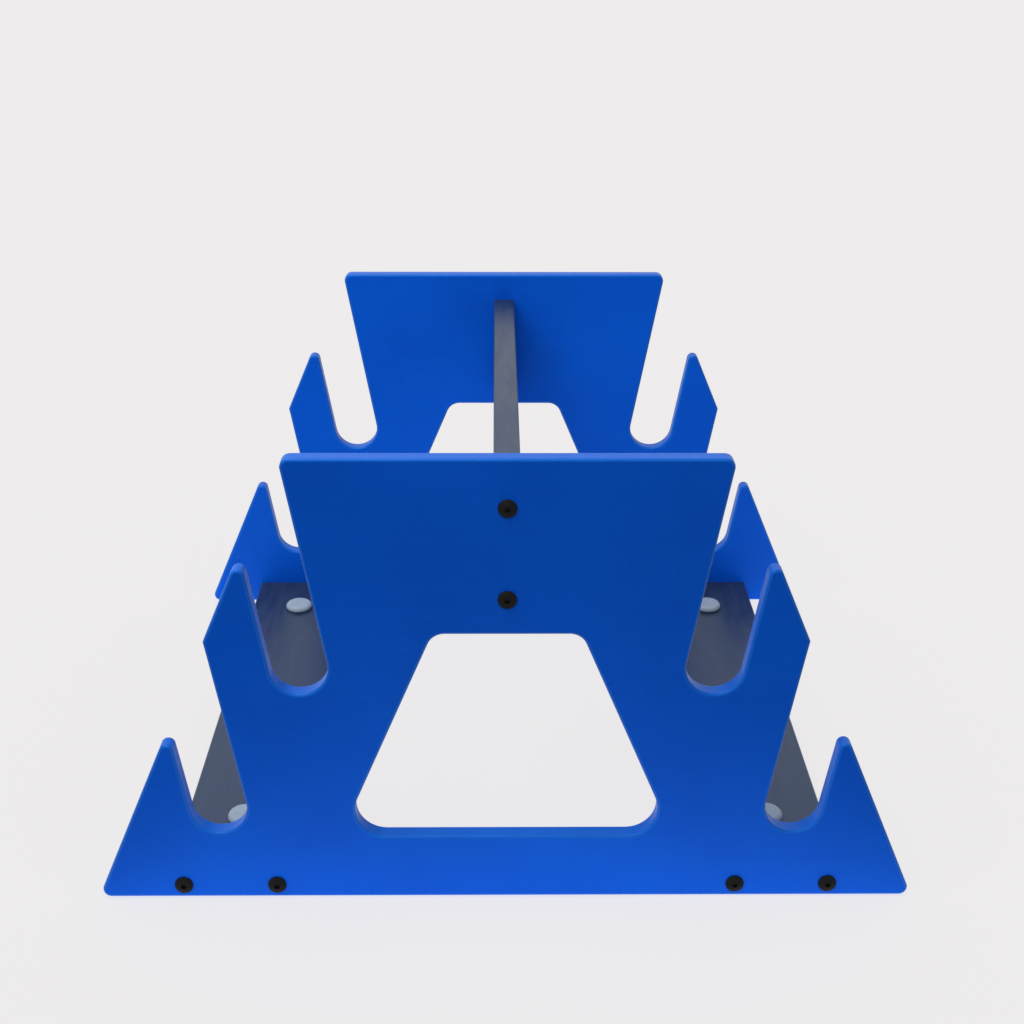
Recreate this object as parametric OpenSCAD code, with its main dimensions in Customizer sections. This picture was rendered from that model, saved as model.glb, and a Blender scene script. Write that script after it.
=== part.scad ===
// Ski rack stand. Two slotted side panels are screwed to the ends of three equal boards, and the
// rack stands on four rubber feet that are pushed through the two base boards.
// Sizes are in millimetres. X runs across the panels, Y from the front panel to the back one and Z
// up from the floor. The origin lies on the floor, in the middle of the rack.

/* [Side panels] */
// Width of a panel between its bottom corners, before they are rounded
panel_w = 590; // [570:1:620]
// Width of a panel along its top edge, before the corners are rounded
panel_top_w = 304.8; // [290:0.2:320]
// Height of a panel
panel_h = 341.2; // [330:0.2:360]
// Thickness of the plastic sheet that a panel is cut from
panel_t = 12.7; // [9:0.1:19]
// Radius of a panel's two bottom corners
bottom_corner_r = 6; // [3:0.5:9]
// Radius of a panel's two top corners
top_corner_r = 6.4; // [3:0.1:9]
// Radius of the tips of the fingers beside the slots
fingertip_r = 5; // [3:0.5:6]
// Radius that breaks the step corner between the two slots of a side
step_corner_r = 1; // [0.5:0.5:3]
// Gap between the floor and a panel's bottom edge
floor_gap = 1.5; // [1:0.1:2]

/* [Ski slots] */
// Width of a slot, measured square to its sides
slot_w = 40.5; // [36:0.5:44]
// Angle by which the slots lean outward, away from the vertical
slot_lean = 10.5; // [8:0.5:13]
// Height of an upper slot's lowest point above the panel's bottom edge
upper_slot_z = 165.5; // [150:0.5:180]
// Height of a lower slot's lowest point above the panel's bottom edge
lower_slot_z = 54; // [42:0.5:66]
// Height of the step corner, where a lower slot's inner side starts, above the panel's bottom edge
step_z = 206; // [196:1:216]

/* [Central opening] */
// Width of the opening along its top, before the corners are rounded
opening_top_w = 102.8; // [90:0.2:116]
// Distance from a panel's top edge down to the opening's top edge
opening_top_drop = 129.3; // [121:0.1:146]
// Height of the opening's bottom edge above the panel's bottom edge
opening_bottom_z = 50.7; // [38:0.1:64]
// Radius of the opening's two top corners
opening_top_r = 12.7; // [6:0.1:18]
// Radius of the opening's two bottom corners
opening_bottom_r = 22; // [12:0.5:30]

/* [Boards] */
// Length of each board, which is the clear distance between the panels
board_l = 457.2; // [420:0.2:500]
// Width of each board
board_w = 88.9; // [80:0.1:96]
// Thickness of each board
board_t = 19.05; // [16:0.05:25]
// Radius along the four long edges of a board
board_edge_r = 1.5; // [0.5:0.5:3]
// Distance from the foot of a panel's slanted side in to the outer edge of a base board
base_board_inset = 51.25; // [44:0.25:60]
// Distance from a panel's top edge down to the top edge of the top board
top_board_drop = 24.5; // [18:0.5:28]

/* [Screws] */
// Outside diameter of a screw's thread
screw_d = 4.8; // [4:0.1:6]
// Length of a screw under its head
screw_l = 63.5; // [50:0.5:76]
// Length of the tapered point at the end of a screw
screw_point_l = 5; // [3:0.5:8]
// Diameter of a screw's washer head
screw_head_d = 13.2; // [11:0.1:15]
// Thickness of the washer rim round a screw's head
screw_rim_h = 0.9; // [0.6:0.1:1.5]
// Height of the dome above the washer rim
screw_dome_h = 2; // [1.6:0.1:2.6]
// Distance across the lobes of the six-lobed drive socket
drive_d = 4.4; // [3.6:0.1:5]
// Depth of the drive socket below the top of the dome
drive_depth = 1.8; // [1.2:0.1:2]
// Distance of each screw from the nearer edge of its board
screw_inset = 10.8; // [8:0.1:20]
// Gap round a screw in a panel's hole
panel_hole_gap = 0.3; // [0.1:0.05:0.5]
// Gap round a screw in a board's end hole
board_hole_gap = 0.1; // [0.05:0.05:0.2]
// Length of a board's end hole past the screw's point
board_hole_extra = 3; // [1:0.5:6]

/* [Feet] */
// Diameter of a foot's domed head, on top of the board
foot_head_d = 24.8; // [20:0.1:30]
// Height of a foot's domed head
foot_head_h = 5.8; // [4.5:0.1:8]
// Radius round the top edge of a foot's domed head
foot_head_r = 3.6; // [2:0.1:4]
// Diameter of the stem that passes through the board
foot_stem_d = 11; // [8:0.5:14]
// Diameter of the pad under the board
foot_pad_d = 31.8; // [26:0.1:38]
// Height of the pad, from the floor to the board's underside
foot_pad_h = 2.5; // [2:0.1:4]
// Radius round the pad's lower edge
foot_pad_r = 0.8; // [0.4:0.1:1.2]
// Gap round a foot's stem in its hole
foot_hole_gap = 0.25; // [0.2:0.05:0.5]
// Distance from a panel's inner face to the centre of a foot
foot_inset = 55; // [45:1:90]

/* [Hidden] */
// Facets of a full circle
$fn = 96;
// Overlap that a cut takes past the faces that it opens
cut_past = 1;
// Height by which an arc stands proud of a slanted side, so that the two cross and don't just touch
arc_proud = 0.01;
// Colours of the four materials
panel_colour = "#0a45ae";
board_colour = "#3a4150";
screw_colour = "#17181a";
foot_colour = "#aab2ba";

// Outer face of a panel, measured from the middle of the rack
outer_y = board_l / 2 + panel_t;
// Angle of a panel's slanted sides from the vertical
side_slant = atan((panel_w - panel_top_w) / 2 / panel_h);
// Distance from the middle of the rack to the centre line of a base board
base_board_x = panel_w / 2 - base_board_inset - board_w / 2;
// Heights of the boards' centre lines above the floor
base_board_z = foot_pad_h + board_t / 2;
top_board_z = floor_gap + panel_h - top_board_drop - board_w / 2;
// Distance of each screw from its board's centre line
screw_offset = board_w / 2 - screw_inset;

// Ends and sides of the rack, each with its name and the sign of its direction
ENDS = [["front", -1], ["back", 1]];
SIDES = [["left", -1], ["right", 1]];
// Places of the six screws of one panel: name, X and height above the floor
SCREW_PLACES = [
    ["top_upper", 0, top_board_z + screw_offset],
    ["top_lower", 0, top_board_z - screw_offset],
    ["left_outer", -base_board_x - screw_offset, base_board_z],
    ["left_inner", -base_board_x + screw_offset, base_board_z],
    ["right_inner", base_board_x - screw_offset, base_board_z],
    ["right_outer", base_board_x + screw_offset, base_board_z],
];
SCREWS = [for (end = ENDS) for (place = SCREW_PLACES) [str(end[0], "_", place[0], "_screw"), end, place]];
FEET = [for (end = ENDS) for (side = SIDES) [str(end[0], "_", side[0], "_foot"), end, side]];

// Half width of a panel's slanted outline at height z above its bottom edge
function half_width(z) = panel_w / 2 - z * tan(side_slant);

// Unit vector from one point towards another
function towards(from, to) = (to - from) / norm(to - from);

// Half of the angle between a corner's two sides
function half_angle(before, corner, after) =
    acos(towards(corner, before) * towards(corner, after)) / 2;

// The two points where a corner's rounding leaves its sides, or the corner itself where r is 0
function rounding_ends(before, corner, after, r) =
    let (cut = r / tan(half_angle(before, corner, after)))
    r == 0 ? [corner] : [corner + towards(corner, before) * cut, corner + towards(corner, after) * cut];

// Centre of a corner's rounding
function rounding_centre(before, corner, after, r) =
    let (middle = towards(corner, before) + towards(corner, after))
    corner + middle / norm(middle) * r / sin(half_angle(before, corner, after));

// Flat shape with corners [x, y, radius], in order round it; the rounded corners are convex, and
// their arcs stand proud of the sides by the given height
module rounded_shape(corners, proud = 0) {
    count = len(corners);
    points = [for (corner = corners) [corner[0], corner[1]]];
    before = function (i) points[(i + count - 1) % count];
    after = function (i) points[(i + 1) % count];
    polygon([
        for (i = [0 : count - 1])
        each rounding_ends(before(i), points[i], after(i), corners[i][2])
    ]);
    for (i = [0 : count - 1]) {
        if (corners[i][2] > 0) {
            translate(rounding_centre(before(i), points[i], after(i), corners[i][2]))
            circle(r = corners[i][2] + proud);
        }
    }
}

// A slot is [mouth, bottom height]: mouth is where its inner side starts, and its round bottom has
// the slot's own width. These give the points that its straight sides run between.
slot_up = [sin(slot_lean), cos(slot_lean)];
slot_out = [cos(slot_lean), -sin(slot_lean)];
upper_slot = [[panel_top_w / 2, panel_h], upper_slot_z];
lower_slot = [[half_width(step_z), step_z], lower_slot_z];

// Centre of a slot's round bottom, straight down the slot's middle line from its mouth
function slot_centre(slot) =
    let (middle = slot[0] + slot_out * slot_w / 2)
    middle - slot_up * (middle[1] - slot[1] - slot_w / 2) / slot_up[1];

// Point where a slot's inner side (-1) or outer side (1) runs into the round bottom
function slot_foot(slot, side) = slot_centre(slot) + slot_out * side * slot_w / 2;

// Point where a slot's outer side meets the panel's slanted side
function slot_fingertip(slot) =
    let (foot = slot_foot(slot, 1))
    let (gap = half_width(foot[1]) - foot[0])
    foot + slot_up * gap / (slot_up[0] + slot_up[1] * tan(side_slant));

// Corner [x, y, radius] from a point
function corner(point, r) = [point[0], point[1], r];

// Right half of a panel's outline, from its bottom corner to its top corner
half_outline = [
    [panel_w / 2, 0, bottom_corner_r],
    corner(slot_fingertip(lower_slot), fingertip_r),
    corner(slot_foot(lower_slot, 1), 0),
    corner(slot_foot(lower_slot, -1), 0),
    corner(lower_slot[0], step_corner_r),
    corner(slot_fingertip(upper_slot), fingertip_r),
    corner(slot_foot(upper_slot, 1), 0),
    corner(slot_foot(upper_slot, -1), 0),
    corner(upper_slot[0], top_corner_r),
];

// The same corners mirrored to the left, in reverse order so that the outline goes on round
function mirrored(corners) =
    [for (i = [len(corners) - 1 : -1 : 0]) [-corners[i][0], corners[i][1], corners[i][2]]];

// Central opening, whose sides run parallel to the panel's slanted sides
opening_top_z = panel_h - opening_top_drop;
opening_bottom_w = opening_top_w + 2 * (opening_top_z - opening_bottom_z) * tan(side_slant);
half_opening = [
    [opening_bottom_w / 2, opening_bottom_z, opening_bottom_r],
    [opening_top_w / 2, opening_top_z, opening_top_r],
];

// Flat outline of a panel, with y as its height above the panel's bottom edge
module panel_outline() {
    difference() {
        rounded_shape(concat(half_outline, mirrored(half_outline)), arc_proud);
        rounded_shape(concat(half_opening, mirrored(half_opening)), arc_proud);
        for (side = SIDES, slot = [upper_slot, lower_slot]) {
            translate([side[1] * slot_centre(slot)[0], slot_centre(slot)[1]])
            circle(r = slot_w / 2 + arc_proud);
        }
    }
}

// Side panel at an end of the rack, with its six screw holes
module side_panel(end) {
    color(panel_colour)
    difference() {
        translate([0, end[1] * (outer_y - panel_t / 2), floor_gap])
        rotate([90, 0, 0])
        linear_extrude(height = panel_t, center = true)
        panel_outline();
        for (place = SCREW_PLACES) {
            translate([place[1], end[1] * (outer_y - panel_t / 2), place[2]])
            rotate([90, 0, 0])
            cylinder(d = screw_d + 2 * panel_hole_gap, h = panel_t + 2 * cut_past, center = true);
        }
    }
}

// Board lying flat along Y, centred on the origin, with two screw holes in each end
module board() {
    depth = screw_l - panel_t + board_hole_extra;
    difference() {
        rotate([90, 0, 0])
        linear_extrude(height = board_l, center = true)
        rounded_shape([
            [board_w / 2, -board_t / 2, board_edge_r],
            [board_w / 2, board_t / 2, board_edge_r],
            [-board_w / 2, board_t / 2, board_edge_r],
            [-board_w / 2, -board_t / 2, board_edge_r],
        ]);
        for (end = ENDS, x = [-screw_offset, screw_offset]) {
            translate([x, end[1] * (board_l / 2 - depth), 0])
            rotate([-90 * end[1], 0, 0])
            cylinder(d = screw_d + 2 * board_hole_gap, h = depth + cut_past);
        }
    }
}

// Board on edge between the upper parts of the panels
module top_board() {
    color(board_colour)
    translate([0, 0, top_board_z])
    rotate([0, 90, 0])
    board();
}

// Board lying flat between the lower parts of the panels, with the holes for its two feet
module base_board(side) {
    color(board_colour)
    difference() {
        translate([side[1] * base_board_x, 0, base_board_z]) board();
        for (end = ENDS) {
            at_foot(end, side)
            translate([0, 0, foot_pad_h - cut_past])
            cylinder(d = foot_stem_d + 2 * foot_hole_gap, h = board_t + 2 * cut_past);
        }
    }
}

// Moves a foot from the origin to its place at an end and a side of the rack
module at_foot(end, side) {
    translate([side[1] * base_board_x, end[1] * (board_l / 2 - foot_inset), 0])
    children();
}

// Flat six-lobed star of the drive socket
module drive_star() {
    lobe_r = drive_d / 8;
    circle(r = drive_d / 2 - lobe_r);
    for (i = [0 : 5]) {
        rotate(60 * i) translate([drive_d / 2 - lobe_r, 0]) circle(r = lobe_r);
    }
}

// Screw along Z, with the underside of its head at the origin and its point downward
module screw() {
    head_r = screw_head_d / 2;
    dome_r = (head_r * head_r + screw_dome_h * screw_dome_h) / (2 * screw_dome_h);
    difference() {
        union() {
            cylinder(r = head_r, h = screw_rim_h);
            rotate_extrude()
            intersection() {
                translate([0, screw_rim_h + screw_dome_h - dome_r]) circle(r = dome_r);
                translate([0, screw_rim_h / 2]) square([head_r, screw_rim_h + screw_dome_h]);
            }
            translate([0, 0, screw_point_l - screw_l])
            cylinder(d = screw_d, h = screw_l - screw_point_l + screw_rim_h / 2);
            translate([0, 0, -screw_l])
            cylinder(d1 = screw_d / 4, d2 = screw_d, h = screw_point_l);
        }
        translate([0, 0, screw_rim_h + screw_dome_h - drive_depth])
        linear_extrude(height = drive_depth + cut_past)
        drive_star();
    }
}

// Screw in a panel, driven inward from the panel's outer face
module placed_screw(end, place) {
    color(screw_colour)
    translate([place[1], end[1] * outer_y, place[2]])
    rotate([-90 * end[1], 0, 0])
    screw();
}

// Flat profile of a disc whose upper edge is rounded, standing on y = bottom beside the y axis
module disc_profile(d, bottom, h, r) {
    intersection() {
        rounded_shape([
            [d / 2, bottom - r, 0],
            [d / 2, bottom + h, r],
            [-d / 2, bottom + h, r],
            [-d / 2, bottom - r, 0],
        ]);
        translate([0, bottom]) square([d, h]);
    }
}

// Push-through foot: pad on the floor, stem through the board, domed head on top of the board
module placed_foot(end, side) {
    head_z = foot_pad_h + board_t;
    color(foot_colour)
    at_foot(end, side)
    rotate_extrude() {
        translate([0, foot_pad_h]) mirror([0, 1]) disc_profile(foot_pad_d, 0, foot_pad_h, foot_pad_r);
        translate([0, foot_pad_h / 2]) square([foot_stem_d / 2, board_t + foot_pad_h]);
        disc_profile(foot_head_d, head_z, foot_head_h, foot_head_r);
    }
}

side_panel(ENDS[0]);  // front_panel
side_panel(ENDS[1]);  // back_panel
top_board();
base_board(SIDES[0]);  // left_base_board
base_board(SIDES[1]);  // right_base_board
for (screw = SCREWS) placed_screw(screw[1], screw[2]);
for (foot = FEET) placed_foot(foot[1], foot[2]);
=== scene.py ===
"""Ski rack stand: two slotted side panels screwed to three boards, standing on four rubber feet.

The rack stands free, so every piece rides on the one body. Sizes are in millimetres and repeat the
sizes of the part's source. Meshes are made in metres, in the CAD model's frame: X runs across the
panels, Y from the front panel to the back one, and Z up from the floor.
"""

import logging
import math
from dataclasses import dataclass, field
from enum import Enum
from itertools import accumulate

import bmesh
import bpy
from bpy.types import Material, Node, NodeOutputs, NodeSocket, NodeTree, Object, World
from mathutils import Euler, Matrix, Vector
from mathutils.geometry import tessellate_polygon


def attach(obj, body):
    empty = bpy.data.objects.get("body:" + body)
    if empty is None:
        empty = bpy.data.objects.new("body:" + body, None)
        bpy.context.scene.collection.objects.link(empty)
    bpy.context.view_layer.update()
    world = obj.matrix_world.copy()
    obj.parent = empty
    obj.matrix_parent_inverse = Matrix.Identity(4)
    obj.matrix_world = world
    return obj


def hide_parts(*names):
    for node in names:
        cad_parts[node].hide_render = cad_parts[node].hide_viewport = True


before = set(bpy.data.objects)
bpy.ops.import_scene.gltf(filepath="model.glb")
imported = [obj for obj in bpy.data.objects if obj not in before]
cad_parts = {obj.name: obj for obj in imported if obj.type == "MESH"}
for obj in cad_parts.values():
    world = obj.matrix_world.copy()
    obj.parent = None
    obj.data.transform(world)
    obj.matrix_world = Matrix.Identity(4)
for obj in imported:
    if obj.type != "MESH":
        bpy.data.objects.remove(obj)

log = logging.getLogger("ski_rack_stand")

MM = 0.001
BODY = "root"
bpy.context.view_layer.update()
FRAME_PIXELS = 1024
MATH = "ShaderNodeMath"
CUT = {"operation": "DIFFERENCE", "solver": "EXACT"}
QUARTER = math.pi / 2
# edges that bend more than this are shaded sharp
SHARP_OVER = math.radians(38.0)
# noise seldom leaves this range
NOISE_SPAN = (0.3, 0.7)
# points of a tree's mesh that lie closer than this are one, in metres
WELD = 0.001 * MM
# how far a cutter reaches past the surface that it opens, in millimetres
CUT_PAST = 1.0


class End(Enum):
    """End of the rack, with the sign of its direction along Y."""

    FRONT = -1
    BACK = 1


class Side(Enum):
    """Side of the rack, with the sign of its direction along X."""

    LEFT = -1
    RIGHT = 1


class Lie(Enum):
    """How a board lies between the panels."""

    FLAT = "flat"
    ON_EDGE = "on edge"


def linear(hex_colour: str) -> tuple[float, float, float, float]:
    """Turns an sRGB hex value into a linear colour.

    Args:
        hex_colour: Colour as "#rrggbb".

    Returns:
        Red, green, blue and an alpha of 1.
    """
    channels = [int(hex_colour[i : i + 2], 16) / 255 for i in (1, 3, 5)]
    return (*(c / 12.92 if c <= 0.04045 else ((c + 0.055) / 1.055) ** 2.4 for c in channels), 1.0)


def add(tree: NodeTree, kind: str, inputs: dict | None = None, **settings: object) -> Node:
    """Adds a node with its settings, values and links.

    Args:
        tree: Tree that the node goes into.
        kind: Blender's name for the node's type.
        inputs: What each input gets, by its name or index: a value, an output socket, a node
            for its first output, or a list of these.
        **settings: Properties of the node.

    Returns:
        The new node.
    """
    node = tree.nodes.new(kind)
    for name, value in settings.items():
        setattr(node, name, value)
    for key, value in (inputs or {}).items():
        for one in value if isinstance(value, list) else [value]:
            if isinstance(one, Node):
                one = one.outputs[0]
            if isinstance(one, NodeSocket):
                tree.links.new(one, node.inputs[key])
            else:
                node.inputs[key].default_value = one
    return node


def empty_nodes(owner: Material | World) -> NodeTree:
    """Gives a material or a world an empty node tree.

    Args:
        owner: The material or the world.

    Returns:
        Its tree.
    """
    owner.use_nodes = True
    owner.node_tree.nodes.clear()
    return owner.node_tree


def marks(
    tree: NodeTree,
    size: float,
    detail: float,
    roughness: float = 0.5,
    stretch: tuple[float, float, float] = (1.0, 1.0, 1.0),
    place: Node | NodeSocket | None = None,
) -> Node:
    """Adds irregular marks of a real size.

    Args:
        tree: Tree of the material.
        size: Size of the largest marks in millimetres.
        detail: How many times finer marks are laid over them.
        roughness: Strength of each finer layer, as a share of the one before.
        stretch: How many times longer the marks run along X, Y and Z.
        place: Coordinates in metres. Without them they are the object's own.

    Returns:
        The noise, which lies round 0.5.
    """
    if place is None:
        place = add(tree, "ShaderNodeTexCoord").outputs["Object"]
    scale = tuple(1 / MM / s for s in stretch)
    spot = add(tree, "ShaderNodeMapping", {"Vector": place, "Scale": scale})
    inputs = {"Vector": spot, "Scale": 1 / size, "Detail": detail, "Roughness": roughness}
    return add(tree, "ShaderNodeTexNoise", inputs)


@dataclass(frozen=True)
class Finish:
    """Opaque finish whose colour, gloss and relief follow marks of its own.

    As its marks rise, the colour goes from the first to the second one and the roughness from its
    lower to its higher value. Sizes and the depth of the relief are in millimetres.
    """

    name: str
    colour: str
    second_colour: str
    roughness: tuple[float, float]
    specular: float
    relief: float
    relief_depth: float
    sheen_tint: str = "#ffffff"
    refraction: float = 1.5

    def patterns(self, tree: NodeTree) -> tuple[Node, Node, Node]:
        """Adds the marks that the colour, the gloss and the relief follow."""
        raise NotImplementedError

    def painted(self, tree: NodeTree, share: Node) -> NodeSocket:
        """Adds the colour, where the share of the second one is given."""
        colours = {0: share, 6: linear(self.colour), 7: linear(self.second_colour)}
        return add(tree, "ShaderNodeMix", colours, data_type="RGBA").outputs[2]

    def material(self) -> Material:
        """Builds the material.

        Returns:
            The finish on a principled shader.
        """
        material = bpy.data.materials.new(self.name)
        tree = empty_nodes(material)
        share, shine, height = self.patterns(tree)
        (low, high), (smooth, rough) = NOISE_SPAN, self.roughness
        span = {"From Min": low, "From Max": high, "To Min": smooth, "To Max": rough}
        raised = {"Height": height, "Strength": self.relief, "Distance": self.relief_depth * MM}
        surface = add(
            tree,
            "ShaderNodeBsdfPrincipled",
            {
                "Base Color": self.painted(tree, share),
                "Roughness": add(tree, "ShaderNodeMapRange", {"Value": shine, **span}),
                "Specular IOR Level": self.specular,
                "Specular Tint": linear(self.sheen_tint),
                "IOR": self.refraction,
                "Normal": add(tree, "ShaderNodeBump", raised),
            },
        )
        add(tree, "ShaderNodeOutputMaterial", {"Surface": surface})
        return material


@dataclass(frozen=True)
class PressedPolyethylene(Finish):
    """High-density polyethylene sheet, dyed through and pressed flat: the panels' faces.

    The press leaves a matt skin with a fine orange peel, and faint lines along the sheet's run,
    which is X. The peel and the lines are drawn as coarse as they need to be to show.
    """

    name: str = "blue_polyethylene_pressed_face"
    colour: str = "#0050c6"
    second_colour: str = "#0059d2"
    roughness: tuple[float, float] = (0.49, 0.52)
    specular: float = 0.06
    relief: float = 0.5
    relief_depth: float = 0.12
    refraction: float = 1.54
    peel_size: float = 1.5
    run_spacing: float = 2.4
    run_stretch: float = 60.0
    cloud_size: float = 85.0
    peel_share: float = 1.1
    run_share: float = 0.3
    tone_reach: float = 0.3

    def patterns(self, tree: NodeTree) -> tuple[Node, Node, Node]:
        """Adds clouds with peel and lines in them, and the lines and the peel on their own.

        Args:
            tree: Tree of the material.

        Returns:
            The clouds for the colour, the lines for the gloss and the peel for the relief.
        """
        peel = marks(tree, self.peel_size, detail=2.5, roughness=0.55)
        along = (self.run_stretch, self.run_stretch, 1.0)
        lines = marks(tree, self.run_spacing, detail=2.0, stretch=along)
        tone = marks(tree, self.cloud_size, detail=3.0)
        for layer, share in ((peel, self.peel_share), (lines, self.run_share)):
            tone = add(tree, MATH, {0: layer, 1: share, 2: tone}, operation="MULTIPLY_ADD")
        # each layer lies round 0.5, so their sum lies round this
        middle = (1.0 + self.peel_share + self.run_share) / 2
        span = {"From Min": middle - self.tone_reach, "From Max": middle + self.tone_reach}
        return add(tree, "ShaderNodeMapRange", {"Value": tone, **span}), lines, peel


@dataclass(frozen=True)
class RoutedPolyethylene(Finish):
    """The same sheet where a router has cut and rounded its edges.

    The cutter leaves the plastic smoother, glossier and a little paler than the pressed skin, with
    shallow marks across the edge. They follow the mesh's "edge_run" map.
    """

    name: str = "blue_polyethylene_routed_edge"
    colour: str = "#0057c4"
    second_colour: str = "#0860ca"
    roughness: tuple[float, float] = (0.36, 0.46)
    specular: float = 0.35
    relief: float = 0.4
    relief_depth: float = 0.05
    # painted reflection colour: the blue tint colours the highlights on the routed edges, which the
    # plastic itself reflects white
    sheen_tint: str = "#98d4ff"
    refraction: float = 1.54
    mark_spacing: float = 1.1
    mark_stretch: float = 10.0
    patch_size: float = 14.0

    def patterns(self, tree: NodeTree) -> tuple[Node, Node, Node]:
        """Adds patches and cutter marks.

        Args:
            tree: Tree of the material.

        Returns:
            The patches for the colour, and the cutter marks for the gloss and for the relief.
        """
        edge = add(tree, "ShaderNodeUVMap", uv_map="edge_run")
        across = (1.0, self.mark_stretch, 1.0)
        cut = marks(tree, self.mark_spacing, detail=1.5, stretch=across, place=edge)
        return marks(tree, self.patch_size, detail=2.0), cut, cut


@dataclass(frozen=True)
class PlasticLumber(Finish):
    """Charcoal polyethylene board, extruded and sawn to length.

    Extrusion draws faint streaks and grooves along the board, and its skin is satin. The sawn ends
    are a little paler, where the mesh's "sawn" attribute is 1.
    """

    name: str = "charcoal_plastic_lumber"
    colour: str = "#1d2838"
    second_colour: str = "#273447"
    roughness: tuple[float, float] = (0.34, 0.46)
    specular: float = 0.9
    relief: float = 0.5
    relief_depth: float = 0.12
    # painted reflection colour: the blue tint colours the boards' reflections, standing in for
    # bluish room light that they reflect
    sheen_tint: str = "#a4c4ff"
    refraction: float = 1.54
    sawn_colour: str = "#2f3c4f"
    streak_width: float = 2.6
    streak_length: float = 110.0
    grain_size: float = 0.9
    grain_share: float = 0.4
    fleck_size: float = 7.0
    fleck_stretch: float = 5.0
    tone_span: tuple[float, float] = (0.7, 1.3)

    def painted(self, tree: NodeTree, share: Node) -> NodeSocket:
        """Adds the skin's colour, and over it the colour of the sawn ends.

        Args:
            tree: Tree of the material.
            share: Share of the skin's second colour.

        Returns:
            The colour.
        """
        sawn = add(tree, "ShaderNodeAttribute", attribute_name="sawn").outputs["Fac"]
        colours = {0: sawn, 6: super().painted(tree, share), 7: linear(self.sawn_colour)}
        return add(tree, "ShaderNodeMix", colours, data_type="RGBA").outputs[2]

    def patterns(self, tree: NodeTree) -> tuple[Node, Node, Node]:
        """Adds streaks with flecks in them, flecks, and streaks with grain in them.

        Args:
            tree: Tree of the material.

        Returns:
            The streaks for the colour, the flecks for the gloss and the grooves for the relief.
        """
        along = (1.0, self.streak_length / self.streak_width, 1.0)
        streaks = marks(tree, self.streak_width, detail=3.0, roughness=0.6, stretch=along)
        drawn = (1.0, self.fleck_stretch, 1.0)
        flecks = marks(tree, self.fleck_size, detail=4.0, stretch=drawn)
        grain = marks(tree, self.grain_size, detail=2.0)
        tone = add(tree, MATH, {0: streaks, 1: flecks}, operation="ADD")
        low, high = self.tone_span
        share = add(tree, "ShaderNodeMapRange", {"Value": tone, "From Min": low, "From Max": high})
        grooves = {0: self.grain_share, 2: streaks, 3: grain}
        return share, flecks, add(tree, "ShaderNodeMix", grooves, data_type="FLOAT")


@dataclass(frozen=True)
class CoatedSteel(Finish):
    """Screw steel under a black baked coating.

    The coating hides the metal, so it reads as a dark satin paint with a fine pebbled skin.
    """

    name: str = "black_coated_steel"
    colour: str = "#0b0b0c"
    second_colour: str = "#141415"
    roughness: tuple[float, float] = (0.45, 0.58)
    specular: float = 0.12
    relief: float = 0.4
    relief_depth: float = 0.03
    pebble_size: float = 0.35
    patch_size: float = 2.5

    def patterns(self, tree: NodeTree) -> tuple[Node, Node, Node]:
        """Adds patches for the colour and the gloss, and pebbles for the relief."""
        patches = marks(tree, self.patch_size, detail=2.0)
        return patches, patches, marks(tree, self.pebble_size, detail=2.0)


@dataclass(frozen=True)
class MouldedRubber(Finish):
    """Light grey thermoplastic rubber, moulded, with a matt slightly grainy skin."""

    name: str = "grey_moulded_rubber"
    colour: str = "#8c9dae"
    second_colour: str = "#9cabb9"
    roughness: tuple[float, float] = (0.56, 0.70)
    specular: float = 0.35
    relief: float = 0.5
    relief_depth: float = 0.05
    grain_size: float = 0.6
    patch_size: float = 9.0

    def patterns(self, tree: NodeTree) -> tuple[Node, Node, Node]:
        """Adds patches for the colour, and grain for the gloss and the relief."""
        grain = marks(tree, self.grain_size, detail=3.0)
        return marks(tree, self.patch_size, detail=3.0), grain, grain


@dataclass(frozen=True)
class Corner:
    """Sharp corner of a flat outline, and the radius that rounds it."""

    point: Vector
    radius: float

    @property
    def entry(self) -> Vector:
        """Point that the side before it runs to."""
        return self.point

    @property
    def exit(self) -> Vector:
        """Point that the side after it runs from."""
        return self.point

    def mirrored(self) -> "Corner":
        """The same corner on the other side of the middle."""
        return Corner(Vector((-self.point.x, self.point.y)), self.radius)


@dataclass(frozen=True)
class Bend:
    """Arc that a flat outline runs along, with the solid on the left of its direction."""

    centre: Vector
    radius: float
    start: float
    sweep: float
    step: float = math.radians(7.5)

    @property
    def entry(self) -> Vector:
        """Point where the outline comes onto the arc."""
        return self.spot(self.start, self.radius)

    @property
    def exit(self) -> Vector:
        """Point where the outline leaves the arc."""
        return self.spot(self.start + self.sweep, self.radius)

    def spot(self, angle: float, radius: float) -> Vector:
        """Point at an angle and a distance from the arc's centre."""
        return self.centre + Vector((math.cos(angle), math.sin(angle))) * radius

    def mirrored(self) -> "Bend":
        """The same arc on the other side of the middle, run the other way."""
        start = math.pi - self.start - self.sweep
        return Bend(Vector((-self.centre.x, self.centre.y)), self.radius, start, self.sweep)

    def points(self, inset: float) -> list[Vector]:
        """Points along the arc once the whole outline is drawn into the solid.

        Args:
            inset: Distance that the outline is drawn in.

        Returns:
            As many points for every inset. Past its own radius a corner that bulges outward
            comes to a point, where its two sides then meet.
        """
        count = max(2, math.ceil(abs(self.sweep) / self.step))
        radius = self.radius - math.copysign(inset, self.sweep)
        if radius < 0:
            meeting = radius / math.cos(self.sweep / 2)
            return [self.spot(self.start + self.sweep / 2, meeting)] * (count + 1)
        return [self.spot(self.start + self.sweep * i / count, radius) for i in range(count + 1)]


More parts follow.
